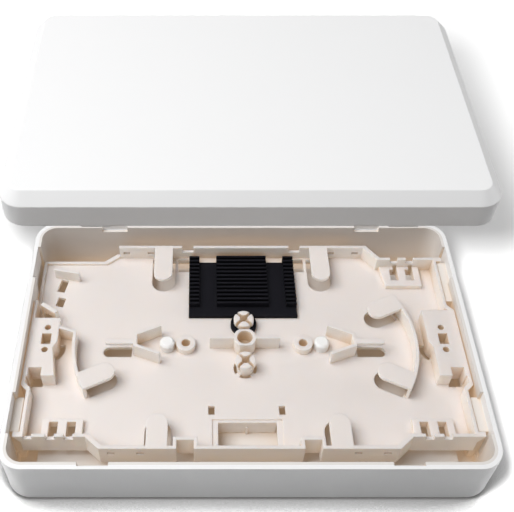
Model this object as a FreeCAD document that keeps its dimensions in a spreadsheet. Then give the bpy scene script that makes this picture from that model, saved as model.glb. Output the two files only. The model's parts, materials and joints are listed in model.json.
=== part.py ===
"""Wall box for fibre splices: base shell, splice tray, splice comb, two push pins and a lift-off cover.

Millimetres. The origin is the centre of the base's flat back, +Z points out of the wall,
X runs along the width and the front long side faces -Y.
"""
import FreeCAD
import Part
import Sketcher

import os
import re

SIZES = {
    # whole box
    "box_width": 210.0, "box_depth": 138.0, "base_height": 31.0, "corner_round": 10.5,
    # base shell
    "rim_thick": 3.3, "base_floor": 2.4, "foot_round": 6.0, "socket_deep": 6.0, "plateau_from_side": 12.0,
    "plateau_top": 8.5, "back_bar": 11.0, "ledge_gap": 0.5, "ledge_drop": 1.0, "ledge_end": 3.0,
    "pocket_from_side": 39.8, "pocket_width": 13.0, "pocket_deep": 1.8, "pocket_tall": 3.0,
    "panel_from_end": 26.4, "panel_long": 20.0, "panel_deep": 1.3, "panel_low": 8.4,
    "pillar_at_x": 50.0, "pillar_at_y": 32.0, "pillar_radius": 4.0, "boss_wall": 1.0,
    # cover and the way it is put off
    "cover_wall": 11.0, "cover_bevel": 5.0, "cover_thick": 2.2, "lift_back": 81.6, "lift_up": 58.1,
    "tongue_gap": 0.3, "tongue_tall": 2.6, "nib_tall": 0.9, "nib_edge": 0.1,
    # tray body: gaps to the base, heights, walls
    "side_gap": 3.4, "bulge_gap": 0.5, "end_gap": 8.3, "tray_drop": 4.5, "tray_wall": 8.0,
    "tray_thick": 2.0, "tray_skirt": 2.2, "wall_thick": 1.5, "lip_tall": 1.2,
    "corner_long": 34.3, "corner_ramp": 6.2, "front_step": 5.6, "rear_step": 8.1, "open_step": 4.9,
    "bulge_front": 26.0, "bulge_rear": 16.0, "lug_tall": 7.0, "lug_foot": 0.3, "lug_thick": 2.4,
    "dip_width": 5.2, "dip_deep": 2.0,
    "notch_at": 27.3, "rear_notch": 5.8, "rear_notch_deep": 3.5, "niche_width": 7.4, "niche_deep": 4.2,
    "eye_from_end": 5.0, "eye_from_finger": 7.0, "eye_width": 3.2, "eye_tall": 1.6, "eye_high": 3.0,
    # long fingers over slots
    "finger_at": 39.5, "finger_width": 9.2, "finger_thick": 1.8, "slot_margin": 1.2,
    "rear_finger_long": 17.8, "front_finger_long": 12.3,
    # curved guides
    "guide_drop": 1.2, "guide_from_side": 20.5, "guide_angle": 30.8, "guide_finger_angle": 25.6,
    "guide_finger_long": 12.3, "short_guide_angle": 5.0, "flare_rise": 6.0,
    # forked guides and their fingers
    "fork_root": 51.3, "fork_tip": 39.6, "fork_rear_root": 2.0, "fork_rear_tip": 7.2,
    "fork_front_root": 4.3, "fork_front_tip": 8.9, "fork_finger_end": 64.0, "fork_finger_at": 2.2,
    "fork_finger_width": 2.6, "fork_slot_at": 3.0, "fork_slot_width": 5.4,
    # centre row
    "post_at": 27.7, "post_radius": 4.5, "post_bore": 2.1, "post_tall": 3.5,
    "hub_radius": 5.2, "hub_flat": 4.6, "hub_bore": 3.65, "hub_rib_long": 16.5, "blind_floor": 0.5,
    "snap_at": 12.2, "snap_radius": 4.0, "snap_bore": 1.9, "snap_front_tall": 7.6, "snap_rear_tall": 6.4,
    "snap_head": 4.8, "snap_head_tall": 3.0, "snap_edge": 0.6, "snap_slit": 1.5, "snap_solid": 2.4,
    "snap_moat": 1.4, "snap_moat_angle": 64.0,
    "pin_at": 36.5, "pin_radius": 3.5, "pin_shank": 1.5, "pin_tall": 4.6, "pin_edge": 0.9,
    # cable-tie anchors
    "tie_from_side": 13.0, "tie_pitch": 7.9, "tie_width": 3.9, "tie_long": 7.0, "tie_from_wall": 6.8,
    "tie_tail": 1.9,
    "tie_plate_tall": 2.6, "tie_notch_deep": 2.6, "tie_plate_margin": 5.0, "tie_plate_rear": 14.0,
    "tie_plate_front": 11.8,
    # angled anchor in the rear left corner
    "skew_from_side": 8.1, "skew_from_rear": 20.5, "skew_angle": -12.0, "skew_slot_width": 3.9,
    "skew_slot_rear_long": 7.8, "skew_slot_front_long": 5.6, "skew_slot_pitch": 10.3,
    "skew_rail_tall": 6.3, "skew_rail_long": 13.1, "skew_rail_behind": 10.0, "skew_rail_shift": 2.1,
    "skew_bar_thick": 2.2, "skew_bar_rise": 3.9, "skew_bar_fall": 1.1, "skew_bar_short": 2.5,
    "skew_eye_width": 4.8, "skew_eye_long": 5.0, "skew_eye_tall": 3.6, "skew_eye_from_side": 3.6,
    "skew_eye_rise": 2.0,
    # side blocks
    "block_left": 13.6, "block_left_waist": 11.8, "block_left_toe": 14.2, "block_left_rear": 11.3,
    "block_right": 15.6, "block_right_waist": 13.8, "block_right_toe": 13.8, "block_right_rear": 15.9,
    "block_front": 21.1, "block_boss_at": 1.2, "block_boss_radius": 4.6, "block_slot": 2.8,
    "block_slot_angle": 80.0, "block_slot_turn": 20.0, "block_hole_from_side": 8.3, "block_hole_front": 6.9,
    "block_hole_rear": 5.7, "block_hole_radius": 1.5, "block_hole_floor": 1.0, "block_square_at": 0.8,
    "block_square_width": 4.4, "block_square_long": 6.0, "block_cut_from_side": 5.2, "block_cut_width": 6.0,
    "block_cut_long": 4.5,
    # front window
    "window_width": 26.0, "window_long": 11.7, "window_from_wall": 5.5, "window_step": 2.6,
    "window_step_deep": 0.6, "window_skirt_gap": 0.3, "window_rib": 1.2,
    "square_from_window": 2.85, "square_behind_window": 5.9, "square_width": 2.8,
    "square_long": 4.4,
    # splice comb
    "comb_width": 53.0, "comb_from_snap": 4.7, "comb_from_wall": 4.1, "comb_plate": 1.8,
    "comb_bay_deep": 2.0, "comb_block_width": 25.4, "comb_rib_tall": 4.9, "comb_rib_thick": 1.1,
    "comb_strip": 5.6, "comb_column_width": 5.2, "comb_column_tall": 4.6, "comb_ear_radius": 6.2,
    "comb_ear_tall": 2.4, "gap_width": 5.8, "gap_long": 8.5, "gap_from_wall": 2.4,
    # slip fit of pins and posts, and the reach of a cutting solid past the faces it opens
    "slip": 0.15, "past": 1.0,
}
COMB_RIBS = 13
# Heights above the wall, as expressions of the sizes.
TRAY_TOP = "(base_height - tray_drop)"
TRAY_FLOOR = "(base_height - tray_drop - tray_wall)"
TRAY_UNDER = "(base_height - tray_drop - tray_wall - tray_thick)"
TRAY_SKIRT = "(base_height - tray_drop - tray_wall - tray_thick - tray_skirt)"
FINGER_UNDER = "(base_height - tray_drop - finger_thick)"
FLOOR_CUT = ("(base_height - tray_drop - tray_wall - tray_thick - past)",
             "(base_height - tray_drop - tray_wall + past)")
COVER_LOW = "(base_height + lift_up)"
# Half sizes of the tray, from the inside of the base.
SIDE = "(box_width / 2 - rim_thick - side_gap)"
BULGE = "(box_width / 2 - rim_thick - bulge_gap)"
REACH = "(box_depth / 2 - rim_thick - end_gap)"
WALL_HALF = f"({SIDE} - corner_long)"
STEP_START = f"({SIDE} - corner_long + corner_ramp)"
GUIDE_RADIUS = f"({BULGE} - guide_from_side - post_at)"
STEPS = {end: f"({REACH} - {end}_step)" for end in ("front", "rear", "open")}
TIE_OUTER = f"({SIDE} - tie_from_side)"
WINDOW_FRONT = f"({REACH} - window_from_wall)"
COMB_FRONT = "(snap_at + comb_from_snap)"
COMB_REAR = f"({REACH} - comb_from_wall)"
SIDES = (("left", "-1"), ("right", "1"))
ENDS = (("front", "-1"), ("rear", "1"))
# The tray's corners with full walls; the rear left one is open.
CLOSED_CORNERS = (("left", "-1", "front", "-1"), ("right", "1", "front", "-1"), ("right", "1", "rear", "1"))

doc = FreeCAD.newDocument("fibre_box")
sheet = doc.addObject("Spreadsheet::Sheet", "Sizes")
for row, (alias, value) in enumerate(SIZES.items(), start=1):
    sheet.set(f"A{row}", alias)
    sheet.set(f"B{row}", str(value))
    sheet.setAlias(f"B{row}", alias)
doc.recompute()


def sized(text):
    """Return the expression with every size name read from the sheet."""
    return re.sub(r"[a-z]\w+", lambda m: "Sizes." + m[0] if m[0] in SIZES else m[0], str(text))


def bind(obj, **expressions):
    """Bind properties to expressions; x, y and z stand for the position."""
    for key, text in expressions.items():
        path = "Placement.Base." + key if key in ("x", "y", "z") else key
        obj.setExpression(path, sized(text))
    return obj


def cbox(name, xc, yc, wide, deep, low, high):
    """Box centred on (xc, yc) between two heights."""
    obj = doc.addObject("Part::Box", name)
    bind(obj, Length=wide, Width=deep, Height=f"({high}) - ({low})")
    return bind(obj, x=f"({xc}) - ({wide}) / 2", y=f"({yc}) - ({deep}) / 2", z=low)


def rod(name, xc, yc, radius, low, high):
    """Upright cylinder."""
    obj = doc.addObject("Part::Cylinder", name)
    return bind(obj, Radius=radius, Height=f"({high}) - ({low})", x=xc, y=yc, z=low)


def crowned(name, xc, yc, radius, edge, low, high):
    """Upright cylinder with a bevelled top edge."""
    shoulder = f"({high}) - ({edge})"
    crown = doc.addObject("Part::Cone", name + "_crown")
    bind(crown, Radius1=radius, Radius2=f"{radius} - {edge}", Height=edge, x=xc, y=yc, z=shoulder)
    return [rod(name, xc, yc, radius, low, shoulder), crown]


def bar(name, start, end, thick, low, high):
    """Upright straight wall whose centre line runs from start to end."""
    run = (f"(({end[0]}) - ({start[0]}))", f"(({end[1]}) - ({start[1]}))")
    length = f"sqrt({run[0]} ^ 2 + {run[1]} ^ 2)"
    obj = doc.addObject("Part::Box", name)
    obj.Placement.Rotation = FreeCAD.Rotation(FreeCAD.Vector(0, 0, 1), 1)
    bind(obj, Length=length, Width=thick, Height=f"({high}) - ({low})")
    obj.setExpression("Placement.Rotation.Angle", sized(f"atan2({run[1]}; {run[0]})"))
    return bind(obj, z=low, x=f"{start[0]} + ({thick}) / 2 * {run[1]} / {length}",
                y=f"{start[1]} - ({thick}) / 2 * {run[0]} / {length}")


def tongue(name, root, tip, width, low, high):
    """Round-ended bar: straight from root to tip, with a half round beyond the tip."""
    return [bar(name, root, tip, width, low, high),
            rod(name + "_end", tip[0], tip[1], f"({width}) / 2", low, high)]


def prism(name, corners, low, high):
    """Upright prism over a closed outline of (x, y) expressions."""
    plan = doc.addObject("Sketcher::SketchObject", name + "_plan")
    spots = [FreeCAD.Vector(*(float(sheet.evalExpression(sized(v))) for v in c), 0) for c in corners]
    count = len(spots)
    for i, spot in enumerate(spots):
        plan.addGeometry(Part.LineSegment(spot, spots[(i + 1) % count]))
    for i in range(count):
        plan.addConstraint(Sketcher.Constraint("Coincident", i, 2, (i + 1) % count, 1))
    for i, spot in enumerate(spots):
        for kind, value, text in (("DistanceX", spot.x, corners[i][0]), ("DistanceY", spot.y, corners[i][1])):
            index = plan.addConstraint(Sketcher.Constraint(kind, -1, 1, i, 1, value))
            plan.setExpression(f"Constraints[{index}]", sized(text))
    bind(plan, z=low)
    solid = doc.addObject("Part::Extrusion", name)
    solid.Base, solid.DirMode, solid.Solid = plan, "Normal", True
    return bind(solid, LengthFwd=f"({high}) - ({low})")


def sector(name, xc, yc, radius, thick, first, sweep, low, high):
    """Part of an upright ring; its outer radius, wall and angles are given."""
    rings = []
    for suffix, reach in (("outer", radius), ("inner", f"({radius}) - ({thick})")):
        ring = rod(f"{name}_{suffix}", xc, yc, reach, low, high)
        ring.Placement.Rotation = FreeCAD.Rotation(FreeCAD.Vector(0, 0, 1), 1)
        ring.setExpression("Placement.Rotation.Angle", sized(first))
        rings.append(bind(ring, Angle=sweep))
    return cut(name, rings[0], rings[1])


def fuse(name, shapes):
    """One solid from several."""
    obj = doc.addObject("Part::MultiFuse", name)
    obj.Shapes, obj.Refine = shapes, True
    return obj


def cut(name, base, tool):
    """Base without tool."""
    obj = doc.addObject("Part::Cut", name)
    obj.Base, obj.Tool, obj.Refine = base, tool, True
    return obj


def moulded_box(name, inset, low, high, shift, edge=None):
    """Box with round upright corners; edge names the face to finish, the feature and its size."""
    body = doc.addObject("PartDesign::Body", name)
    block = doc.addObject("PartDesign::AdditiveBox", name + "_block")
    body.addObject(block)
    bind(block, Length=f"box_width - 2 * ({inset})", Width=f"box_depth - 2 * ({inset})",
         Height=f"({high}) - ({low})")
    bind(block, x=f"({inset}) - box_width / 2", y=f"({inset}) - box_depth / 2 + {shift}", z=low)
    doc.recompute()
    upright = [f"Edge{i}" for i, e in enumerate(block.Shape.Edges, 1) if abs(e.BoundBox.ZLength) > 0.1]
    corners = doc.addObject("PartDesign::Fillet", name + "_corners")
    body.addObject(corners)
    corners.Base = (block, upright)
    bind(corners, Radius=f"corner_round - ({inset})")
    doc.recompute()
    if edge:
        side, feature, prop, size = edge
        box = corners.Shape.BoundBox
        level = box.ZMin if side == "bottom" else box.ZMax
        faces = [f"Face{i}" for i, f in enumerate(corners.Shape.Faces, 1)
                 if f.BoundBox.ZLength < 0.01 and abs(f.BoundBox.ZMin - level) < 0.01]
        finish = doc.addObject("PartDesign::" + feature, name + "_" + side)
        body.addObject(finish)
        finish.Base = (corners, faces)
        bind(finish, **{prop: size})
    return body


def base_shell():
    """White shell: open box with rim pockets, thin side panels, and bosses that carry the tray."""
    foot = ("bottom", "Fillet", "Radius", "foot_round")
    outer = moulded_box("base_outer", "0", "0", "base_height", "0", foot)
    hollow = moulded_box("base_hollow", "rim_thick", "base_floor", "base_height + foot_round", "0")
    inset, back = "plateau_from_side", "plateau_from_side + base_floor"
    floor = cbox("plateau", "0", "0", f"box_width - 2 * {inset}", f"box_depth - 2 * {inset}",
                 "base_floor / 2", "plateau_top")
    recess = cbox("back_recess", "0", "0", f"box_width - 2 * ({back})", f"box_depth - 2 * ({back})", "-past",
                  "plateau_top - base_floor")
    stand = "plateau_top - base_floor / 2"
    solids = [cbox("screw_bar", "0", "0", "2 * post_at", "back_bar", "0", stand)]
    cuts = []
    for side, sx in SIDES:
        solids.append(rod(f"screw_boss_{side}", f"{sx} * post_at", "0", "post_radius + boss_wall", "0",
                          TRAY_UNDER))
        solids.append(rod(f"pin_boss_{side}", f"{sx} * pin_at", "0", "pin_radius", stand, TRAY_UNDER))
        cuts.append(rod(f"screw_bore_{side}", f"{sx} * post_at", "0", "post_bore", "-past", "base_height"))
        cuts.append(rod(f"pin_bore_{side}", f"{sx} * pin_at", "0", "pin_shank + slip",
                        f"{TRAY_UNDER} - socket_deep - slip", "base_height"))
        for end, sy in ENDS:
            solids.append(rod(f"pillar_{side}_{end}", f"{sx} * pillar_at_x", f"{sy} * pillar_at_y",
                              "pillar_radius", stand, TRAY_UNDER))
            cuts.append(cbox(f"pocket_{side}_{end}", f"{sx} * (box_width / 2 - pocket_from_side)",
                             f"{sy} * (box_depth / 2 - rim_thick)", "pocket_width", "pocket_deep * 2",
                             "base_height - pocket_tall", "base_height + past"))
            cuts.append(cbox(f"panel_{side}_{end}", f"{sx} * (box_width / 2 - rim_thick)",
                             f"{sy} * (box_depth / 2 - panel_from_end)", "panel_deep * 2", "panel_long",
                             "panel_low", "base_height + past"))
    open_box = fuse("base_floored", [cut("base_open", outer, hollow), floor])
    shell = fuse("base_solid", [cut("base_hollowed", open_box, recess)] + solids)
    ledges = []
    start, top = f"({SIDE} + ledge_gap)", f"{TRAY_TOP} - ledge_drop"
    for side, sx, end, sy in CLOSED_CORNERS:
        near, far = f"(bulge_{end} + {BULGE} - {SIDE} + ledge_end)", f"({STEPS[end]} - ledge_end)"
        ledges.append(cbox(f"ledge_{side}_{end}", f"{sx} * ({start} + box_width / 2 - rim_thick / 2) / 2",
                           f"{sy} * ({near} + {far}) / 2", f"box_width / 2 - rim_thick / 2 - {start}",
                           f"{far} - {near}", "base_floor / 2", top))
    return fuse("base_shell", [cut("base_pierced", shell, fuse("base_cuts", cuts))] + ledges)


def tray_outline():
    """Corners of the tray floor, anticlockwise from the front end of the right half."""
    ramp = f"({BULGE} - {SIDE})"
    front, rear = STEPS["front"], STEPS["rear"]
    right = [(WALL_HALF, f"-{REACH}"), (STEP_START, f"-{front}"), (SIDE, f"-{front}"),
             (SIDE, f"-bulge_front - {ramp}"), (BULGE, "-bulge_front"), (BULGE, "bulge_rear"),
             (SIDE, f"bulge_rear + {ramp}"), (SIDE, rear), (STEP_START, rear), (WALL_HALF, REACH)]
    left = [(f"-{x}", y) for x, y in reversed(right)]
    left[1:5] = [(f"-{STEP_START}", STEPS["open"]), (f"-{BULGE}", STEPS["open"])]
    return right + left


def tray_walls():
    """Outer walls along the outline, cut down to a low lip in the rear left corner, with lugs to the base."""
    outline = tray_outline()
    inside = [tuple(f"({v}) - wall_thick * ({v}) / abs({v})" for v in spot) for spot in outline]
    ring = cut("wall_ring", prism("wall_outer", outline, TRAY_SKIRT, TRAY_TOP),
               prism("wall_inner", inside, f"{TRAY_SKIRT} - past", f"{TRAY_TOP} + past"))
    above, front = f"{TRAY_TOP} + past", STEPS["front"]
    edges = (f"-({BULGE} + past)", f"-({WALL_HALF} - wall_thick)")
    levels = ("(bulge_rear + skew_bar_rise + skew_bar_thick)", f"({REACH} + past)")
    corner = cbox("open_corner", f"({edges[0]} + {edges[1]}) / 2", f"({levels[0]} + {levels[1]}) / 2",
                  f"{edges[1]} - {edges[0]}", f"{levels[1]} - {levels[0]}", f"{TRAY_FLOOR} + lip_tall", above)
    dip = cbox("corner_dip", f"-({SIDE} - dip_width / 2)", f"-{front}", "dip_width", "wall_thick * 3",
               f"{TRAY_TOP} - dip_deep", above)
    walls = cut("wall_lowered", ring, fuse("wall_cuts", [corner, dip]))
    lugs = []
    reach = f"({BULGE} - {SIDE} + wall_thick)"
    for side, sx, end, sy in CLOSED_CORNERS:
        low, high = ("0", "{}") if sx == "1" else ("-{}", "0")
        lug = doc.addObject("Part::Wedge", f"lug_{side}_{end}")
        bind(lug, Xmin=low.format("lug_foot"), Xmax=high.format("lug_foot"), X2min=low.format(reach),
             X2max=high.format(reach), Ymin="0", Ymax="lug_tall", Zmin="0", Zmax="lug_thick", Z2min="0",
             Z2max="lug_thick")
        lug.Placement.Rotation = FreeCAD.Rotation(FreeCAD.Vector(1, 0, 0), 90)
        lugs.append(bind(lug, x=f"{sx} * ({SIDE} - wall_thick)", z=f"{TRAY_TOP} - lug_tall",
                         y=f"{sy} * ({STEPS[end]} - lug_thick / 2) + lug_thick / 2"))
    return [walls] + lugs, []


def long_fingers():
    """The four fingers from the front and rear walls, and the floor slots under them."""
    solids, slots = [], []
    for side, sx in SIDES:
        x = f"{sx} * finger_at"
        for end, sy in ENDS:
            root = (x, f"{sy} * ({REACH} - wall_thick / 2)")
            tip = (x, f"{sy} * ({REACH} - {end}_finger_long)")
            solids += tongue(f"finger_{side}_{end}", root, tip, "finger_width", FINGER_UNDER, TRAY_TOP)
            slot_root = (x, f"{sy} * ({REACH} - wall_thick - slot_margin)")
            slots += tongue(f"finger_slot_{side}_{end}", slot_root, tip, "finger_width + 2 * slot_margin",
                            *FLOOR_CUT)
    return solids, slots


def curved_guides():
    """Full arc on the right with two fingers, short arc on the left with one and a flared end."""
    solids, slots = [], []
    reach = f"({GUIDE_RADIUS} - wall_thick / 2)"
    for side, sx, ways in (("right", "1", ("1", "-1")), ("left", "-1", ("-1",))):
        centre = (f"{sx} * post_at", "-guide_drop")
        first = "-guide_angle" if side == "right" else "180 - short_guide_angle"
        sweep = "2 * guide_angle" if side == "right" else "guide_angle + short_guide_angle"
        solids.append(sector(f"guide_{side}", *centre, GUIDE_RADIUS, "wall_thick", first, sweep,
                             TRAY_UNDER, TRAY_TOP))
        for number, way in enumerate(ways):
            turn = (f"{sx} * cos(guide_finger_angle)", f"{way} * sin(guide_finger_angle)")
            reaches = (reach, f"({GUIDE_RADIUS} - guide_finger_long)",
                       f"({reach} - wall_thick / 2 - slot_margin)")
            root, tip, slot_root = [tuple(f"{c} + {r} * {t}" for c, t in zip(centre, turn)) for r in reaches]
            name = f"guide_finger_{side}_{number}"
            solids += tongue(name, root, tip, "finger_width", FINGER_UNDER, TRAY_TOP)
            slots += tongue(name + "_slot", slot_root, tip, "finger_width + slot_margin", *FLOOR_CUT)
    flare = (f"-post_at - {reach} * cos(short_guide_angle)", f"{reach} * sin(short_guide_angle) - guide_drop")
    solids.append(bar("guide_flare", flare, (f"-({BULGE} - block_left)", "flare_rise"), "wall_thick",
                      TRAY_UNDER, TRAY_TOP))
    return solids, slots


def forked_guides():
    """Forks round the pins, each with a short finger over its slot."""
    solids, slots = [], []
    for side, sx in SIDES:
        root, tip = f"{sx} * fork_root", f"{sx} * fork_tip"
        solids.append(bar(f"fork_rear_{side}", (root, "fork_rear_root"), (tip, "fork_rear_tip"), "wall_thick",
                          TRAY_UNDER, TRAY_TOP))
        solids.append(bar(f"fork_front_{side}", (root, "-fork_front_root"), (tip, "-fork_front_tip"),
                          "wall_thick", TRAY_UNDER, TRAY_TOP))
        solids.append(bar(f"fork_end_{side}", (root, "-fork_front_root - wall_thick / 2"),
                          (root, "fork_rear_root + wall_thick / 2"), "wall_thick", TRAY_UNDER, TRAY_TOP))
        end = (f"{sx} * fork_finger_end", "-fork_finger_at")
        solids += tongue(f"fork_finger_{side}", (root, "-fork_finger_at"), end, "fork_finger_width",
                         FINGER_UNDER, TRAY_TOP)
        slot_root = (f"{sx} * (fork_root + wall_thick / 2 + slot_margin)", "-fork_slot_at")
        slot_end = (f"{sx} * fork_finger_end", "-fork_slot_at")
        slots += tongue(f"fork_slot_{side}", slot_root, slot_end, "fork_slot_width", *FLOOR_CUT)
    return solids, slots


def centre_row():
    """Flatted hub with its ribs, hollow screw posts, split snap posts, and the bores through them."""
    blind = f"{TRAY_FLOOR} + blind_floor"
    flats = [cbox(f"hub_flat_{end}", "0", f"{sy} * (hub_flat + hub_radius / 2)", "2 * hub_radius + past",
                  "hub_radius", TRAY_FLOOR, f"{TRAY_TOP} + past") for end, sy in ENDS]
    solids = [cut("hub", rod("hub_round", "0", "0", "hub_radius", TRAY_UNDER, TRAY_TOP),
                  fuse("hub_flats", flats))]
    bores = [rod("hub_hole", "0", "0", "hub_bore", blind, "base_height")]
    for side, sx in SIDES:
        post = f"{sx} * post_at"
        solids.append(rod(f"post_{side}", post, "0", "post_radius", TRAY_UNDER, f"{TRAY_FLOOR} + post_tall"))
        solids.append(cbox(f"hub_rib_{side}", f"{sx} * hub_rib_long / 2", "0", "hub_rib_long", "wall_thick",
                           TRAY_UNDER, TRAY_TOP))
        bores.append(rod(f"post_hole_{side}", post, "0", "post_bore", "0", "base_height"))
        bores.append(rod(f"pin_hole_{side}", f"{sx} * pin_at", "0", "pin_shank + slip", "0", "base_height"))
    for end, sy in ENDS:
        level = f"{sy} * snap_at"
        top = f"{TRAY_FLOOR} + snap_{end}_tall"
        solids.append(rod(f"snap_{end}", "0", level, "snap_radius", TRAY_UNDER, top))
        solids += crowned(f"snap_head_{end}", "0", level, "snap_head", "snap_edge", f"{top} - snap_head_tall",
                          top)
        bores.append(rod(f"snap_hole_{end}", "0", level, "snap_bore", blind, "base_height"))
        for way, lean in (("rising", "1"), ("falling", "-1")):
            bores.append(bar(f"snap_slit_{end}_{way}", ("-snap_head", f"{level} - {lean} * snap_head"),
                             ("snap_head", f"{level} + {lean} * snap_head"), "snap_slit",
                             f"{TRAY_FLOOR} + snap_solid", f"{top} + past"))
    for number, turn in enumerate(("0", "180", "270")):
        bores.append(sector(f"snap_moat_{number}", "0", "-snap_at", "snap_radius + snap_moat", "snap_moat",
                            f"{turn} - snap_moat_angle / 2", "snap_moat_angle", *FLOOR_CUT))
    return solids, bores


def tie_anchors():
    """Raised plates with two tie slots and a notched wall beside them, in three corners."""
    solids, cuts = [], []
    for side, sx, end, sy in CLOSED_CORNERS:
        name, wall = f"{side}_{end}", STEPS[end]
        inner, outer = f"({TIE_OUTER} - tie_pitch - tie_plate_margin)", f"({TIE_OUTER} + tie_plate_margin)"
        root = STEP_START if end == "rear" else inner
        plate = f"({wall} - tie_plate_{end})"
        outline = [(f"{sx} * {root}", f"{sy} * {wall}"), (f"{sx} * {outer}", f"{sy} * {wall}"),
                   (f"{sx} * {outer}", f"{sy} * {plate}"), (f"{sx} * {inner}", f"{sy} * {plate}")]
        solids.append(prism(f"tie_plate_{name}", outline, TRAY_UNDER, f"{TRAY_FLOOR} + tie_plate_tall"))
        for number in range(2):
            x = f"{sx} * ({TIE_OUTER} - {number} * tie_pitch)"
            cuts.append(cbox(f"tie_slot_{name}_{number}", x, f"{sy} * ({wall} - tie_from_wall)", "tie_width",
                             "tie_long", FLOOR_CUT[0], TRAY_TOP))
            reach = "(tie_from_wall - tie_long / 2 - wall_thick)"
            cuts.append(cbox(f"tie_tail_{name}_{number}", f"{x} + {sx} * (tie_width - tie_tail) / 2",
                             f"{sy} * ({wall} - wall_thick - ({reach} - past) / 2)", "tie_tail",
                             f"{reach} + past", FLOOR_CUT[0], f"{TRAY_FLOOR} + tie_plate_tall + past"))
            cuts.append(cbox(f"tie_notch_{name}_{number}", x, f"{sy} * {wall}", "tie_width", "wall_thick * 3",
                             f"{TRAY_TOP} - tie_notch_deep", f"{TRAY_TOP} + past"))
    return solids, cuts


def skewed_anchor():
    """Angled anchor of the rear left corner: two slots between a rail behind and a pierced bar in front."""
    middle = (f"-({SIDE} - skew_from_side)", f"({STEPS['open']} - skew_from_rear)")
    rail = (f"{middle[0]} + skew_rail_shift", f"{middle[1]} + skew_rail_behind")
    ends = [(f"{rail[0]} {way} skew_rail_long / 2 * cos(skew_angle)",
             f"{rail[1]} {way} skew_rail_long / 2 * sin(skew_angle)") for way in "-+"]
    solids = [bar("skew_rail", *ends, "wall_thick", TRAY_UNDER, f"{TRAY_FLOOR} + skew_rail_tall"),
              bar("skew_bar", (f"-{SIDE} + wall_thick / 2", "bulge_rear + skew_bar_rise"),
                  (f"-({BULGE} - block_left + skew_bar_short)", "bulge_rear - skew_bar_fall"),
                  "skew_bar_thick", TRAY_UNDER, TRAY_TOP)]
    cuts = [cbox("skew_eye", f"-({SIDE} - skew_eye_from_side)", "bulge_rear + skew_eye_rise",
                 "skew_eye_width", "skew_eye_long", FLOOR_CUT[0], f"{TRAY_FLOOR} + skew_eye_tall")]
    for end, sign in (("front", "-"), ("rear", "+")):
        centre = (middle[0], f"{middle[1]} {sign} skew_slot_pitch / 2")
        ends = [(f"{centre[0]} - ({way} skew_slot_{end}_long / 2 * sin(skew_angle))",
                 f"{centre[1]} {way} skew_slot_{end}_long / 2 * cos(skew_angle)") for way in "-+"]
        cuts.append(bar(f"skew_slot_{end}", *ends, "skew_slot_width", *FLOOR_CUT))
    return solids, cuts


def side_blocks():
    """Waisted blocks on both short sides, each with a boss beside a floor slot, top holes and a cut front."""
    solids, cuts = [], []
    above = f"{TRAY_TOP} + past"
    blind = f"{TRAY_FLOOR} + block_hole_floor"
    for side, sx in SIDES:
        def across(width):
            """Place at a distance in from the tray's side."""
            return f"{sx} * ({BULGE} - {width})"

        size = f"block_{side}"
        outline = [(across("0"), "-block_front"), (across("0"), f"{size}_rear"),
                   (across(size), f"{size}_rear"), (across(size), "-block_boss_at"),
                   (across(size + "_waist"), "-block_boss_at - block_boss_radius"),
                   (across(size + "_toe"), "-block_front")]
        solids.append(prism(f"block_{side}", outline, TRAY_UNDER, TRAY_TOP))
        boss = (across(f"({size} - block_boss_radius)"), "-block_boss_at")
        solids.append(rod(f"block_boss_{side}", *boss, "block_boss_radius", TRAY_UNDER, TRAY_TOP))
        turn = "180 - block_slot_turn" if side == "right" else "block_slot_turn - block_slot_angle"
        cuts.append(sector(f"block_slot_{side}", *boss, "block_boss_radius + block_slot", "block_slot", turn,
                           "block_slot_angle", *FLOOR_CUT))
        x = across("block_hole_from_side")
        for end, y in (("front", "-block_hole_front"), ("rear", "block_hole_rear")):
            cuts.append(rod(f"block_hole_{side}_{end}", x, y, "block_hole_radius", blind, above))
        cuts.append(cbox(f"block_square_{side}", x, "-block_square_at", "block_square_width",
                         "block_square_long", blind, above))
        cuts.append(cbox(f"block_cut_{side}", across("block_cut_from_side"),
                         "-block_front + (block_cut_long - past) / 2", "block_cut_width",
                         "block_cut_long + past", FLOOR_CUT[0], above))
    return solids, cuts


def wall_details():
    """Rear notches, front niches and the small eyes through the long walls."""
    solids, cuts = [], []
    above = f"{TRAY_TOP} + past"
    for side, sx in SIDES:
        x = f"{sx} * notch_at"
        cuts.append(cbox(f"rear_notch_{side}", x, REACH, "rear_notch", "wall_thick * 3",
                         f"{TRAY_TOP} - rear_notch_deep", above))
        cuts.append(cbox(f"niche_{side}", x, f"-{REACH}", "niche_width", "niche_deep * 2",
                         f"{TRAY_SKIRT} - past", above))
        solids.append(cbox(f"niche_case_{side}", x, f"-{REACH} + (niche_deep + wall_thick) / 2",
                           "niche_width + 2 * wall_thick", "niche_deep + wall_thick", TRAY_SKIRT, TRAY_TOP))
        for number, eye in enumerate((f"({WALL_HALF} - eye_from_end)", "(finger_at + eye_from_finger)")):
            for end, sy in ENDS:
                cuts.append(cbox(f"eye_{side}_{end}_{number}", f"{sx} * {eye}", f"{sy} * {REACH}",
                                 "eye_width", "wall_thick * 3", f"{TRAY_FLOOR} + eye_high",
                                 f"{TRAY_FLOOR} + eye_high + eye_tall"))
    return solids, cuts


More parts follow.
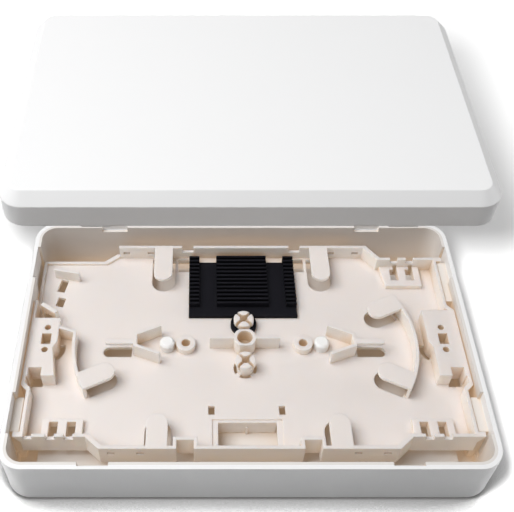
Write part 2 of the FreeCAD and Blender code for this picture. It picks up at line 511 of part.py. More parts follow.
def floor_windows():
    """Window with its stepped edge and rear skirt, the square holes beside it, the gaps behind the comb."""
    middle = f"-({WINDOW_FRONT} - window_long / 2)"
    cuts = [cbox("window", "0", middle, "window_width", "window_long", *FLOOR_CUT),
            cbox("window_ledge", "0", middle, "window_width + 2 * window_step", "window_long + window_step",
                 f"{TRAY_FLOOR} - window_step_deep", FLOOR_CUT[1])]
    for side, sx in SIDES:
        cuts.append(cbox(f"square_{side}", f"{sx} * (window_width / 2 + square_from_window)",
                         f"-({WINDOW_FRONT} - window_long - square_behind_window)", "square_width",
                         "square_long", *FLOOR_CUT))
        cuts.append(cbox(f"comb_gap_{side}", f"{sx} * (comb_width + gap_width) / 2",
                         f"{REACH} - gap_from_wall - gap_long / 2", "gap_width", "gap_long", *FLOOR_CUT))
    edge, foot = f"({WINDOW_FRONT} - window_long)", "plateau_top + window_skirt_gap"
    skirt = [cbox("window_skirt", "0", f"-({edge} - wall_thick / 2)", "window_width", "wall_thick", foot,
                  TRAY_FLOOR),
             cbox("window_rib", "0", f"-{edge}", "window_rib", "window_rib", foot, TRAY_SKIRT)]
    return skirt, cuts


def splice_tray():
    """Cream tray, one moulding."""
    floor = prism("tray_floor", tray_outline(), TRAY_UNDER, TRAY_FLOOR)
    solids, cuts = [floor], []
    for group in (tray_walls, long_fingers, curved_guides, forked_guides, centre_row, tie_anchors,
                  skewed_anchor, side_blocks, wall_details, floor_windows):
        added, removed = group()
        solids += added
        cuts += removed
    return cut("splice_tray", fuse("tray_solid", solids), fuse("tray_cuts", cuts))


def splice_comb():
    """Black comb: plate, ribbed block, two ribbed columns, and the ear round the rear snap post."""
    top = f"{TRAY_FLOOR} + comb_plate"
    solids = [cbox("comb_sheet", "0", f"({COMB_FRONT} + {COMB_REAR}) / 2", "comb_width",
                   f"{COMB_REAR} - {COMB_FRONT}", TRAY_FLOOR, top),
              rod("comb_ear", "0", "snap_at", "comb_ear_radius", TRAY_FLOOR, f"{TRAY_FLOOR} + comb_ear_tall")]
    pitch = f"({COMB_REAR} - {COMB_FRONT} - comb_strip - comb_rib_thick) / {COMB_RIBS - 1}"
    for i in range(COMB_RIBS):
        y = f"{COMB_FRONT} + comb_strip + comb_rib_thick / 2 + {i} * {pitch}"
        solids.append(cbox(f"comb_rib_{i}", "0", y, "comb_block_width", "comb_rib_thick", TRAY_FLOOR,
                           f"{TRAY_FLOOR} + comb_rib_tall"))
        for side, sx in SIDES:
            solids.append(cbox(f"comb_tooth_{side}_{i}", f"{sx} * (comb_width - comb_column_width) / 2", y,
                               "comb_column_width", "comb_rib_thick", TRAY_FLOOR,
                               f"{TRAY_FLOOR} + comb_column_tall"))
    cuts = [rod("comb_ear_hole", "0", "snap_at", "snap_radius + slip", "0", "base_height")]
    bay = "(comb_width / 2 - comb_column_width - comb_block_width / 2)"
    for side, sx in SIDES:
        cuts.append(cbox(f"comb_bay_{side}", f"{sx} * (comb_block_width + {bay}) / 2", COMB_REAR, bay,
                         "comb_bay_deep * 2", f"{TRAY_FLOOR} - past", f"{top} + past"))
    return cut("splice_comb", fuse("comb_solid", solids), fuse("comb_cuts", cuts))


def push_pin(side, sx):
    """White push pin with an edged head on the tray and a shank in the base."""
    x = f"{sx} * pin_at"
    top = f"{TRAY_FLOOR} + pin_tall"
    head = crowned(f"pin_head_{side}", x, "0", "pin_radius", "pin_edge", TRAY_FLOOR, top)
    shank = rod(f"pin_stem_{side}", x, "0", "pin_shank", f"{TRAY_UNDER} - socket_deep", f"{top} - pin_edge")
    return fuse(f"push_pin_{side}", head + [shank])


def cover():
    """White cover with a bevelled top, put off behind and above the base; its tongues fit the rim pockets."""
    high = f"{COVER_LOW} + cover_wall + cover_bevel"
    bevel = ("top", "Chamfer", "Size", "cover_bevel")
    outer = moulded_box("cover_outer", "0", COVER_LOW, high, "lift_back", bevel)
    hollow = moulded_box("cover_hollow", "cover_thick", f"{COVER_LOW} - past", f"{high} - cover_thick",
                         "lift_back", bevel)
    solids = [cut("cover_open", outer, hollow)]
    thick, wide = "(pocket_deep - tongue_gap)", "(pocket_width - 2 * tongue_gap)"
    face = "(box_depth / 2 - rim_thick + pocket_deep - tongue_gap)"
    web = f"(box_depth / 2 - cover_thick / 2 - {face} + {thick})"
    web_at = f"(box_depth / 2 - cover_thick / 2 - {web} / 2)"
    for side, sx in SIDES:
        x = f"{sx} * (box_width / 2 - pocket_from_side)"
        solids.append(cbox(f"tongue_{side}", x, f"lift_back - {face} + {thick} / 2", wide, thick,
                           f"{COVER_LOW} - tongue_tall", f"{COVER_LOW} + cover_wall"))
        nib = doc.addObject("Part::Wedge", f"nib_{side}")
        bind(nib, Xmin="0", Xmax=wide, X2min="0", X2max=wide, Ymin="0", Ymax="nib_tall", Zmin="0",
             Zmax=thick, Z2min="0", Z2max="nib_edge")
        nib.Placement.Rotation = FreeCAD.Rotation(FreeCAD.Vector(1, 0, 0), -90)
        solids.append(bind(nib, x=f"{x} - {wide} / 2", y=f"lift_back + {face} - {thick}", z=COVER_LOW))
        for end, sy in ENDS:
            solids.append(cbox(f"tongue_web_{side}_{end}", x, f"lift_back + {sy} * {web_at}", wide, web,
                               COVER_LOW, f"{COVER_LOW} + cover_wall"))
    return fuse("cover", solids)


NODES = [base_shell(), splice_tray(), splice_comb(), push_pin("left", "-1"), push_pin("right", "1"), cover()]
doc.recompute()
for item in doc.Objects:
    if {"Invalid", "Error"} & set(item.State):
        raise RuntimeError(f"{item.Name} is not valid: {item.State}")
    if hasattr(item, "Shape") and not item.Shape.isNull() and not item.Shape.isValid():
        raise RuntimeError(f"{item.Name} has an unsound shape")
os.makedirs("parts", exist_ok=True)
for node in NODES:
    if len(node.Shape.Solids) != 1:
        raise RuntimeError(f"{node.Label} is in {len(node.Shape.Solids)} pieces")
    node.Shape.exportStep(f"parts/{node.Label}.step")
    print(node.Label, node.Shape.BoundBox, round(node.Shape.Volume))
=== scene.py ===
"""Looks of the fibre distribution box: finishes of the moulded pieces, studio and camera.

Metres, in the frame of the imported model: the origin is the centre of the base's flat back,
+Z points out of the open side and the front long side faces -Y.
"""

import json
import logging
import math
from dataclasses import dataclass, field
from enum import Enum

import bpy
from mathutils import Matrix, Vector

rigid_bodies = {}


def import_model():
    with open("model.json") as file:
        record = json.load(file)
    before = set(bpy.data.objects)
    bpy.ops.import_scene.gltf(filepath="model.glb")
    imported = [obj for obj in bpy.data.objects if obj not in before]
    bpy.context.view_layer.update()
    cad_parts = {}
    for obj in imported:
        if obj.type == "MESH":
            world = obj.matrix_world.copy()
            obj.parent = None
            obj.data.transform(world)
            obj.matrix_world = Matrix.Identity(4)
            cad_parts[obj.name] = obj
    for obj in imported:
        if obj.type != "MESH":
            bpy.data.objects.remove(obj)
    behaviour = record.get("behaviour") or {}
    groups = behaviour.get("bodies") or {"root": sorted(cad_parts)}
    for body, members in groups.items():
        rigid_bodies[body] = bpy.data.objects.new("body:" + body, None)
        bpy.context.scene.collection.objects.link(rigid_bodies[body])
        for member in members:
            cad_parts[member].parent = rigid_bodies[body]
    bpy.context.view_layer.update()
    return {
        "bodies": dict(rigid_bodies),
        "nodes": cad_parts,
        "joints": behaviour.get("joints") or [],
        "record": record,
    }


LOG = logging.getLogger("fibre_box")
MM = 0.001
Colour = tuple[float, float, float]
Point = tuple[float, float, float]
Nodes = bpy.types.NodeTree
Socket = bpy.types.NodeSocket

BLACK: Colour = (0.0, 0.0, 0.0)
WHITE: Colour = (1.0, 1.0, 1.0)

# Mould grain and the slow patches in it. The spans are the range of the noise that is put to use.
GRAIN_DETAIL = 2.0
GRAIN_SHARPNESS = 0.6
PATCHES_PER_METRE = 38.0
PATCH_DETAIL = 3.0
GLOSS_SPAN = (0.3, 0.7)
PATCH_SPAN = (0.35, 0.75)
BUMP_STRENGTH = 0.35

# Share of open sky above a place: from the first on no shade is painted there, at the second the painted
# shade is full.
OPEN_SHARE = 0.85
SHUT_SHARE = 0.15
SHADE_SAMPLES = 8

# Upward share of a face's direction, for level faces and for upright ones.
LEVEL_TILT = 0.75
UPRIGHT_TILT = 0.25

EDGE_RADIUS = 0.4 * MM
EDGE_SAMPLES = 6


class Grain(Enum):
    """Surface texture of the mould, as the number of its grains per metre."""

    FINE_SPARK = 2600.0
    SATIN = 1500.0
    RUBBERY = 3400.0


class Reach(Enum):
    """What a lamp lights."""

    ALL = "all"
    PART = "part"
    FLOOR = "floor"


def place(tree: Nodes, kind: str, **values: float) -> bpy.types.Node:
    """Add a node and set its input sockets.

    Args:
        tree: Node tree that gets the node.
        kind: Node type without the ShaderNode prefix.
        values: Input socket values, with the socket's name in snake case.

    Returns:
        The new node.
    """
    node = tree.nodes.new("ShaderNode" + kind)
    for name, value in values.items():
        label = name.replace("_", " ").title()
        next(s for s in node.inputs if s.name == label).default_value = value
    return node


def place_math(tree: Nodes, operation: str, *sources: Socket | float) -> Socket:
    """Add a math node fed by sockets or numbers.

    Args:
        tree: Node tree that gets the node.
        operation: The math operation.
        sources: Output sockets to link, or numbers to set.

    Returns:
        The output socket.
    """
    node = tree.nodes.new("ShaderNodeMath")
    node.operation = operation
    for socket, source in zip(node.inputs, sources):
        if isinstance(source, Socket):
            tree.links.new(source, socket)
        else:
            socket.default_value = source
    return node.outputs[0]


def place_length(tree: Nodes, vector: Socket) -> Socket:
    """Add a node for the length of a vector.

    Args:
        tree: Node tree that gets the node.
        vector: Socket that gives the vector.

    Returns:
        The output socket.
    """
    node = tree.nodes.new("ShaderNodeVectorMath")
    node.operation = "LENGTH"
    tree.links.new(vector, node.inputs[0])
    return node.outputs["Value"]


def place_seen(tree: Nodes) -> Socket:
    """Add the light path test for what the camera sees, straight, mirrored or through glass.

    Args:
        tree: Node tree that gets the nodes.

    Returns:
        Socket that is 1 for such rays and 0 for the light that falls on the part.
    """
    path = place(tree, "LightPath").outputs
    seen = place_math(tree, "MAXIMUM", path["Is Camera Ray"], path["Is Glossy Ray"])
    return place_math(tree, "MAXIMUM", seen, path["Is Transmission Ray"])


def place_group(tree: Nodes, group: Nodes, **values: float) -> bpy.types.Node:
    """Add a shared group with its own values.

    Args:
        tree: Node tree that gets the group.
        group: The shared group.
        values: Input values, with the socket's name in snake case.

    Returns:
        The group's node.
    """
    node = tree.nodes.new("ShaderNodeGroup")
    node.node_tree = group
    for name, value in values.items():
        node.inputs[name.replace("_", " ").title()].default_value = value
    return node


def mix_colours(tree: Nodes, first: Colour | Socket, second: Colour, share: Socket) -> Socket:
    """Add a mix of two colours.

    Args:
        tree: Node tree that gets the node.
        first: Colour at share 0, or the socket that gives it.
        second: Colour at share 1.
        share: Socket that gives the share.

    Returns:
        The output socket.
    """
    node = tree.nodes.new("ShaderNodeMix")
    node.data_type = "RGBA"
    sockets = {s.identifier: s for s in node.inputs}
    if isinstance(first, Socket):
        tree.links.new(first, sockets["A_Color"])
    else:
        sockets["A_Color"].default_value = (*first, 1.0)
    sockets["B_Color"].default_value = (*second, 1.0)
    tree.links.new(share, sockets["Factor_Float"])
    return node.outputs["Result"]


def new_group(name: str, inputs: dict[str, float], outputs: dict[str, str]) -> Nodes:
    """Make an empty shader node group with its sockets.

    Args:
        name: Name of the group.
        inputs: Float inputs and their default values.
        outputs: Outputs and their socket types.

    Returns:
        The group's node tree, with its input and output nodes in place.
    """
    group = bpy.data.node_groups.new(name, "ShaderNodeTree")
    for label, value in inputs.items():
        socket = group.interface.new_socket(label, in_out="INPUT", socket_type="NodeSocketFloat")
        socket.default_value = value
    for label, kind in outputs.items():
        group.interface.new_socket(label, in_out="OUTPUT", socket_type=kind)
    group.nodes.new("NodeGroupInput")
    group.nodes.new("NodeGroupOutput")
    return group


def moulded_grain() -> Nodes:
    """Build the group for spark-eroded mould grain: a fine height and a slow drift in gloss.

    Returns:
        Group with outputs Height, Roughness and Drift.
    """
    group = new_group("moulded_grain",
                      {"Scale": Grain.FINE_SPARK.value, "Roughness": 0.5, "Spread": 0.1},
                      dict.fromkeys(("Height", "Roughness", "Drift"), "NodeSocketFloat"))
    link = group.links.new
    given, made = group.nodes["Group Input"].outputs, group.nodes["Group Output"].inputs
    spot = place(group, "TexCoord").outputs["Object"]
    fine = place(group, "TexNoise", detail=GRAIN_DETAIL, roughness=GRAIN_SHARPNESS)
    link(spot, fine.inputs["Vector"])
    link(given["Scale"], fine.inputs["Scale"])
    slow = place(group, "TexNoise", scale=PATCHES_PER_METRE, detail=PATCH_DETAIL)
    link(spot, slow.inputs["Vector"])
    swing = place(group, "MapRange", from_min=GLOSS_SPAN[0], from_max=GLOSS_SPAN[1],
                  to_min=-1.0, to_max=1.0)
    link(slow.outputs["Fac"], swing.inputs["Value"])
    link(fine.outputs["Fac"], made["Height"])
    link(place_math(group, "MULTIPLY_ADD", swing.outputs["Result"], given["Spread"], given["Roughness"]),
         made["Roughness"])
    link(slow.outputs["Fac"], made["Drift"])
    return group


def crevice_mask() -> Nodes:
    """Build the group that finds slots and inner corners by ambient occlusion, for painted shade and
    glow.

    Returns:
        Group with output Mask, 1 far down in a slot and 0 on open faces.
    """
    group = new_group("crevice_mask", {"Reach": 8.0 * MM, "Open": OPEN_SHARE, "Strength": 1.0},
                      {"Mask": "NodeSocketFloat"})
    link = group.links.new
    given, made = group.nodes["Group Input"].outputs, group.nodes["Group Output"].inputs
    shade = place(group, "AmbientOcclusion")
    shade.samples = SHADE_SAMPLES
    link(given["Reach"], shade.inputs["Distance"])
    deep = place(group, "MapRange", from_max=SHUT_SHARE, to_min=0.0, to_max=1.0)
    link(shade.outputs["AO"], deep.inputs["Value"])
    link(given["Open"], deep.inputs["From Min"])
    strong = place_math(group, "MULTIPLY", deep.outputs["Result"], given["Strength"])
    link(place_math(group, "MINIMUM", strong, 1.0), made["Mask"])
    return group


def inside_mask() -> Nodes:
    """Build the group that tells the inside of an open box from its outside.

    Returns:
        Group with output Mask, 1 within a rectangle with round corners about the origin.
    """
    group = new_group("inside_mask",
                      {"Half Width": 100.0 * MM, "Half Depth": 100.0 * MM, "Corner": 10.0 * MM},
                      {"Mask": "NodeSocketFloat"})
    link = group.links.new
    given, made = group.nodes["Group Input"].outputs, group.nodes["Group Output"].inputs
    axes = place(group, "SeparateXYZ")
    link(place(group, "TexCoord").outputs["Object"], axes.inputs["Vector"])
    beyond = place(group, "CombineXYZ")
    for axis, label in (("X", "Half Width"), ("Y", "Half Depth")):
        straight = place_math(group, "SUBTRACT", given[label], given["Corner"])
        past = place_math(group, "SUBTRACT", place_math(group, "ABSOLUTE", axes.outputs[axis]), straight)
        link(place_math(group, "MAXIMUM", past, 0.0), beyond.inputs[axis])
    away = place_length(group, beyond.outputs["Vector"])
    link(place_math(group, "LESS_THAN", away, given["Corner"]), made["Mask"])
    return group


def upright_mask() -> Nodes:
    """Build the group that tells upright faces from floors and tops, for painted light on upright faces.

    Returns:
        Group with output Mask, 1 on upright faces and 0 on level ones.
    """
    group = new_group("upright_mask", {}, {"Mask": "NodeSocketFloat"})
    link = group.links.new
    axes = place(group, "SeparateXYZ")
    link(place(group, "NewGeometry").outputs["Normal"], axes.inputs["Vector"])
    steep = place(group, "MapRange", from_min=LEVEL_TILT, from_max=UPRIGHT_TILT, to_min=0.0, to_max=1.0)
    link(place_math(group, "ABSOLUTE", axes.outputs["Z"]), steep.inputs["Value"])
    link(steep.outputs["Result"], group.nodes["Group Output"].inputs["Mask"])
    return group


def soft_edges() -> Nodes:
    """Build the group that rounds the light on moulded edges.

    Returns:
        Group with output Normal.
    """
    group = new_group("soft_edges", {"Radius": EDGE_RADIUS}, {"Normal": "NodeSocketVector"})
    given, made = group.nodes["Group Input"].outputs, group.nodes["Group Output"].inputs
    bevel = place(group, "Bevel")
    bevel.samples = EDGE_SAMPLES
    group.links.new(given["Radius"], bevel.inputs["Radius"])
    group.links.new(bevel.outputs["Normal"], made["Normal"])
    return group


@dataclass
class Effects:
    """Shared node groups of the finishes, built once."""

    grain: Nodes = field(default_factory=moulded_grain)
    crevice: Nodes = field(default_factory=crevice_mask)
    inside: Nodes = field(default_factory=inside_mask)
    upright: Nodes = field(default_factory=upright_mask)
    edges: Nodes = field(default_factory=soft_edges)


@dataclass(frozen=True)
class Room:
    """Open inside of a shell, a rectangle with round corners about the origin."""

    half_width: float
    half_depth: float
    corner: float


@dataclass(frozen=True)
class Plastic:
    """Finish of a moulded plastic piece.

    Attributes:
        name: Name of the material.
        colour: Colour of open faces.
        deep: Colour painted in slots and inner corners, as their shade.
        drift: Colour that slow patches lean to.
        roughness: Middle roughness.
        grain: Texture of the mould.
        relief: Height of the grain.
        reach: Distance over which a slot gets painted shade.
        open_share: Share of open sky above which a place gets no painted shade.
        glow: Painted glow in slots and inner corners, light that no lamp gives.
        painted_room_shade: Colour painted on open faces inside a shell's room, as their warm shade.
        subsurface: Share of light that goes through the skin.
        bleed: How far red, green and blue light go, as shares of the depth.
        bleed_depth: Depth that light reaches under the skin.
        edge: Radius over which the light on an edge is rounded.
        drift_share: Largest share of the drift colour.
        specular: Strength of the skin's mirror share.
        spread: How far the roughness drifts from the middle.
        painted_wall_light: Lighter colour painted on upright faces, as their light, where it differs.
    """

    name: str
    colour: Colour
    deep: Colour
    drift: Colour
    roughness: float
    grain: Grain
    relief: float
    reach: float
    open_share: float = OPEN_SHARE
    glow: Colour = BLACK
    painted_room_shade: Colour = WHITE
    subsurface: float = 0.0
    bleed: Colour = (1.0, 0.84, 0.7)
    bleed_depth: float = 1.5 * MM
    edge: float = EDGE_RADIUS
    drift_share: float = 0.2
    specular: float = 0.5
    spread: float = 0.03
    painted_wall_light: Colour | None = None

    def material(self, effects: Effects, room: Room | None) -> bpy.types.Material:
        """Build the material, or take the one built before.

        Args:
            effects: The shared node groups.
            room: Open inside outside of which no shade or glow is painted, if the piece has one.

        Returns:
            The finished material.
        """
        built = bpy.data.materials.get(self.name)
        if built:
            return built
        material = bpy.data.materials.new(self.name)
        material.use_nodes = True
        tree = material.node_tree
        link = tree.links.new
        shader = tree.nodes["Principled BSDF"]
        shader.inputs["Specular IOR Level"].default_value = self.specular
        shader.inputs["Subsurface Weight"].default_value = self.subsurface
        shader.inputs["Subsurface Radius"].default_value = self.bleed
        shader.inputs["Subsurface Scale"].default_value = self.bleed_depth
        grain = place_group(tree, effects.grain, scale=self.grain.value, roughness=self.roughness,
                            spread=self.spread)
        link(grain.outputs["Roughness"], shader.inputs["Roughness"])
        # Ambient occlusion sets where shade and glow are painted.
        shade_and_glow_mask = place_group(tree, effects.crevice, reach=self.reach, open=self.open_share).outputs["Mask"]
        patches = place(tree, "MapRange", from_min=PATCH_SPAN[0], from_max=PATCH_SPAN[1], to_min=0.0,
                        to_max=self.drift_share)
        link(grain.outputs["Drift"], patches.inputs["Value"])
        tone = mix_colours(tree, self.colour, self.drift, patches.outputs["Result"])
        # Painted light: upright faces take a lighter colour than level ones.
        if self.painted_wall_light:
            upright = place_group(tree, effects.upright).outputs["Mask"]
            tone = mix_colours(tree, tone, self.painted_wall_light, upright)
        # Painted shade: open faces inside the shell's room take a darker, warmer colour.
        if room:
            inside = place_group(tree, effects.inside, half_width=room.half_width,
                                 half_depth=room.half_depth, corner=room.corner).outputs["Mask"]
            shade_and_glow_mask = place_math(tree, "MULTIPLY", shade_and_glow_mask, inside)
            tone = mix_colours(tree, tone, self.painted_room_shade, inside)
        # Painted shade: slots and inner corners take a darker, warmer colour where little light reaches.
        link(mix_colours(tree, tone, self.deep, shade_and_glow_mask), shader.inputs["Base Color"])
        # Painted glow: slots and inner corners give off light, though no lamp is there.
        if any(self.glow):
            shader.inputs["Emission Strength"].default_value = 1.0
            link(mix_colours(tree, BLACK, self.glow, shade_and_glow_mask), shader.inputs["Emission Color"])
        edges = place_group(tree, effects.edges, radius=self.edge)
        bump = place(tree, "Bump", strength=BUMP_STRENGTH, distance=self.relief)
        link(grain.outputs["Height"], bump.inputs["Height"])
        link(edges.outputs["Normal"], bump.inputs["Normal"])
        link(bump.outputs["Normal"], shader.inputs["Normal"])
        return material


# Every finish below paints a darker colour into its slots and inner corners as their shade. The shell
# also paints a warm glow there and a warm shade on its inside faces; the tray paints a faint glow in its
# slots and a lighter colour on its upright faces as their light.
COVER_WHITE = Plastic("cover_white", colour=(0.90, 0.90, 0.902), deep=(0.82, 0.82, 0.82),
                      drift=(0.88, 0.88, 0.885), roughness=0.42, grain=Grain.FINE_SPARK, relief=0.03 * MM,
                      reach=4.0 * MM, edge=0.7 * MM)
SHELL_WHITE = Plastic("shell_white", colour=(0.90, 0.90, 0.902), deep=(0.58, 0.46, 0.345),
                      drift=(0.88, 0.88, 0.885), roughness=0.42, grain=Grain.FINE_SPARK, relief=0.03 * MM,
                      reach=14.0 * MM, open_share=0.66, glow=(0.175, 0.124, 0.077),
                      painted_room_shade=(0.77, 0.738, 0.705))
TRAY_CREAM = Plastic("tray_cream", colour=(0.78, 0.728, 0.70), deep=(0.58, 0.455, 0.33),
                     drift=(0.765, 0.713, 0.686), roughness=0.45, grain=Grain.SATIN, relief=0.02 * MM,
                     reach=9.0 * MM, open_share=0.60, glow=(0.062, 0.045, 0.027), subsurface=0.6,
                     bleed_depth=3.5 * MM, painted_wall_light=(0.98, 0.888, 0.822))
COMB_BLACK = Plastic("comb_black", colour=(0.005, 0.005, 0.008), deep=(0.001, 0.001, 0.002),
                     drift=(0.008, 0.008, 0.012), roughness=0.66, grain=Grain.RUBBERY, relief=0.03 * MM,
                     reach=4.0 * MM, specular=0.12)
PIN_WHITE = Plastic("pin_white", colour=(0.90, 0.90, 0.89), deep=(0.8, 0.79, 0.77),
                    drift=(0.88, 0.88, 0.88), roughness=0.3, grain=Grain.SATIN, relief=0.01 * MM,
                    reach=3.0 * MM, subsurface=0.1)


@dataclass
class Moulding:
    """One moulded node of the part whose solid shows as it is."""

    node: str
    finish: Plastic

    def room(self, piece: bpy.types.Object) -> Room | None:
        """Give no room, as for every piece but an open shell.

        Args:
            piece: The node's object, not used here.

        Returns:
            Nothing.
        """
        return None

    def dress(self, frame: dict, effects: Effects) -> None:
        """Give the node its finish.

        Args:
            effects: The shared node groups.
        """
        piece = frame["nodes"][self.node]
        piece.data.materials.clear()
        piece.data.materials.append(self.finish.material(effects, self.room(piece)))
        LOG.info("%s dressed in %s", self.node, self.finish.name)


@dataclass
class BaseShell(Moulding):
    """White open shell that lies on the wall.

    Attributes:
        corner_round: Radius of the upright corners.
        rim_inset: Distance in from the outside at which the inside starts.
    """

    node: str = "base_shell"
    finish: Plastic = SHELL_WHITE
    corner_round: float = 10.5 * MM
    rim_inset: float = 2.0 * MM

    def room(self, piece: bpy.types.Object) -> Room:
        """Work out the open inside from the shell's own box.

        Args:
            piece: The shell.

        Returns:
            The room within the rim.
        """
        half_width, half_depth = (max(corner[axis] for corner in piece.bound_box) for axis in (0, 1))
        return Room(half_width - self.rim_inset, half_depth - self.rim_inset,
                    self.corner_round - self.rim_inset)


@dataclass
class Cover(Moulding):
    """White bevelled cover, taken off."""

    node: str = "cover"
    finish: Plastic = COVER_WHITE


@dataclass
class SpliceTray(Moulding):
    """Cream tray with its fingers, guides and anchors."""

    node: str = "splice_tray"
    finish: Plastic = TRAY_CREAM


@dataclass
class SpliceComb(Moulding):
    """Black comb that holds the splice sleeves."""

    node: str = "splice_comb"
    finish: Plastic = COMB_BLACK


@dataclass
class PushPin(Moulding):
    """White push pin that holds the tray on the base."""

    node: str
    finish: Plastic = PIN_WHITE


@dataclass(frozen=True)
class Lamp:
    """One soft box of the studio.

    Attributes:
        name: Name of the lamp.
        spot: Where it hangs.
        aim: Point that it faces.
        size: Side of the box.
        watts: Power.
        reach: What it lights.
        passes: Nodes that cast no shadow in its light.
    """

    name: str
    spot: Point
    aim: Point
    size: float
    watts: float
    reach: Reach = Reach.ALL
    passes: tuple[str, ...] = ()

    def build(self, frame: dict, floor: bpy.types.Object) -> None:
        """Hang the lamp.

        Args:
            floor: The floor under the part.
        """
        lamp = bpy.data.lights.new(self.name, "AREA")
        lamp.size = self.size
        lamp.energy = self.watts
        obj = bpy.data.objects.new(self.name, lamp)
        bpy.context.scene.collection.objects.link(obj)
        obj.location = self.spot
        obj.rotation_euler = (Vector(self.aim) - Vector(self.spot)).to_track_quat("-Z", "Y").to_euler()
        pieces = frame["nodes"]
        if self.passes:
            obj.light_linking.blocker_collection = self._gather(
                "blockers", [pieces[node] for node in pieces if node not in self.passes])
        if self.reach is not Reach.ALL:
            obj.light_linking.receiver_collection = self._gather(
                "lit", list(pieces.values()) if self.reach is Reach.PART else [floor])

    def _gather(self, use: str, pieces: list[bpy.types.Object]) -> bpy.types.Collection:
        """Put objects in a collection for the lamp.

        Args:
            use: What the collection is for.
            pieces: The objects.

        Returns:
            The collection.
        """
        group = bpy.data.collections.new(f"{self.name}_{use}")
        for piece in pieces:
            group.objects.link(piece)
        return group


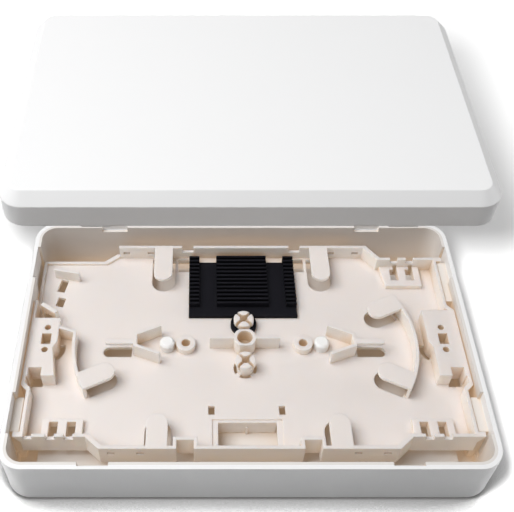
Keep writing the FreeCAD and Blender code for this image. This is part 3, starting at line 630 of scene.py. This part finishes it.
@dataclass
class Studio:
    """Floor, lights and camera.

    Attributes:
        lamps: The soft boxes. The main one's light passes the cover, so the tray under it is evenly lit.
        world_light: Strength of the surroundings in the light on the part.
        world_seen: Strength of the surroundings as the camera sees them.
        floor_half: Half the floor's side.
        floor_roughness: Roughness of the floor.
        floor_seen: Colour of the floor as the camera sees it.
        floor_bounce: Colour of the floor in the light that it throws back.
        floor_painted_shade: Colour painted on the floor close to the part, as its contact shade.
        floor_glow: Distances from the origin, and the floor's own light there.
        contact_reach: Distance over which that contact shade is painted.
        contact_strength: Strength of that shade.
        contact_share: Share of the floor's own light that the shade takes away.
        photo_width: Width of the photograph in pixels.
        focal_px: Focal length in pixels.
        centre_px: Column of the photograph that the camera looks along.
        pitch_deg: How far the camera looks down.
        camera_at: Where the camera stands.
        sensor_mm: Width of the sensor.
        clip_start: Nearest distance that the camera shows.
    """

    lamps: tuple[Lamp, ...] = (
        Lamp("key", spot=(-0.20, -0.62, 0.80), aim=(0.0, 0.03, 0.03), size=0.40, watts=0.9),
        Lamp("main", spot=(-0.62, 0.00, 1.12), aim=(0.0, 0.03, 0.03), size=0.90, watts=15.9,
             reach=Reach.PART, passes=("cover",)),
        Lamp("fill", spot=(1.00, 0.10, 0.24), aim=(0.0, 0.05, 0.06), size=0.60, watts=2.8,
             reach=Reach.PART),
        Lamp("floor_lamp", spot=(-0.040, -0.133, 0.300), aim=(0.0, 0.08, 0.0), size=0.07, watts=2.7,
             reach=Reach.FLOOR),
    )
    world_light: float = 0.10
    world_seen: float = 0.78
    floor_half: float = 3.0
    floor_roughness: float = 0.9
    floor_seen: Colour = (0.97, 0.97, 0.97)
    floor_bounce: Colour = (0.02, 0.02, 0.0205)
    floor_painted_shade: Colour = (0.10, 0.10, 0.10)
    floor_glow: tuple[tuple[float, float], ...] = ((0.16, 0.30), (0.42, 0.80), (1.60, 0.68))
    contact_reach: float = 0.03
    contact_strength: float = 2.6
    contact_share: float = 0.65
    photo_width: float = 514.0
    focal_px: float = 808.353
    centre_px: float = 200.893
    pitch_deg: float = 48.905
    camera_at: Point = (-20.592 * MM, -220.151 * MM, 336.67 * MM)
    sensor_mm: float = 36.0
    clip_start: float = 0.01

    def build(self, frame: dict, effects: Effects) -> None:
        """Set up the whole studio.

        Args:
            effects: The shared node groups.
        """
        bpy.context.scene.view_settings.view_transform = "Standard"
        floor = self._floor(effects)
        self._world()
        for lamp in self.lamps:
            lamp.build(frame, floor)
        self._camera()
        LOG.info("studio with %d lamps", len(self.lamps))

    def _floor(self, effects: Effects) -> bpy.types.Object:
        """Lay the pale floor, white to the camera apart from the lamps' shadows and a contact shade
        painted close to the part.

        Args:
            effects: The shared node groups.

        Returns:
            The floor.
        """
        mesh = bpy.data.meshes.new("floor")
        half = self.floor_half
        corners = [(-half, -half, 0.0), (half, -half, 0.0), (half, half, 0.0), (-half, half, 0.0)]
        mesh.from_pydata(corners, [], [(0, 1, 2, 3)])
        floor = bpy.data.objects.new("floor", mesh)
        bpy.context.scene.collection.objects.link(floor)
        material = bpy.data.materials.new("floor_white")
        material.use_nodes = True
        tree = material.node_tree
        link = tree.links.new
        shader = tree.nodes["Principled BSDF"]
        shader.inputs["Roughness"].default_value = self.floor_roughness
        shader.inputs["Emission Color"].default_value = (*WHITE, 1.0)
        seen = place_seen(tree)
        # Painted contact shade: ambient occlusion darkens the floor close to the part and dims its own
        # light there.
        contact = place_group(tree, effects.crevice, reach=self.contact_reach,
                              strength=self.contact_strength).outputs["Mask"]
        tone = mix_colours(tree, self.floor_bounce, self.floor_seen, seen)
        link(mix_colours(tree, tone, self.floor_painted_shade, contact), shader.inputs["Base Color"])
        clear = place_math(tree, "MULTIPLY_ADD", contact, -self.contact_share, 1.0)
        glow = place_math(tree, "MULTIPLY", seen, self._floor_glow(tree))
        link(place_math(tree, "MULTIPLY", glow, clear), shader.inputs["Emission Strength"])
        mesh.materials.append(material)
        return floor

    def _floor_glow(self, tree: Nodes) -> Socket:
        """Add the floor's own light, by the distance from the part.

        Args:
            tree: Node tree that gets the nodes.

        Returns:
            Socket that gives the strength.
        """
        reach = self.floor_glow[-1][0]
        away = place_length(tree, place(tree, "TexCoord").outputs["Object"])
        ramp = place(tree, "ValToRGB")
        stops = ramp.color_ramp.elements
        while len(stops) < len(self.floor_glow):
            stops.new(1.0)
        for stop, (distance, glow) in zip(stops, self.floor_glow):
            stop.position = distance / reach
            stop.color = (glow, glow, glow, 1.0)
        tree.links.new(place_math(tree, "DIVIDE", away, reach), ramp.inputs["Fac"])
        return ramp.outputs["Color"]

    def _world(self) -> None:
        """Set even pale surroundings, paler to the camera."""
        world = bpy.data.worlds.new("studio")
        bpy.context.scene.world = world
        world.use_nodes = True
        tree = world.node_tree
        back = tree.nodes["Background"]
        back.inputs["Color"].default_value = (*WHITE, 1.0)
        strength = place_math(tree, "MULTIPLY_ADD", place_seen(tree), self.world_seen - self.world_light,
                              self.world_light)
        tree.links.new(strength, back.inputs["Strength"])

    def _camera(self) -> None:
        """Set the camera of the photograph, looking down over the front long side."""
        lens = bpy.data.cameras.new("camera")
        lens.sensor_width = self.sensor_mm
        lens.sensor_fit = "HORIZONTAL"
        lens.lens = self.focal_px / self.photo_width * self.sensor_mm
        lens.shift_x = 0.5 - self.centre_px / self.photo_width
        lens.clip_start = self.clip_start
        camera = bpy.data.objects.new("camera", lens)
        camera.location = self.camera_at
        camera.rotation_euler = (math.radians(90.0 - self.pitch_deg), 0.0, 0.0)
        bpy.context.scene.collection.objects.link(camera)
        bpy.context.scene.camera = camera


def main() -> None:
    """Dress the part and set up the studio."""
    logging.basicConfig(level=logging.INFO, format="%(name)s: %(message)s")
    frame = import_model()
    effects = Effects()
    for piece in (BaseShell(), Cover(), SpliceTray(), SpliceComb(),
                  PushPin("push_pin_left"), PushPin("push_pin_right")):
        piece.dress(frame, effects)
    Studio().build(frame, effects)


if __name__ == "__main__":
    main()
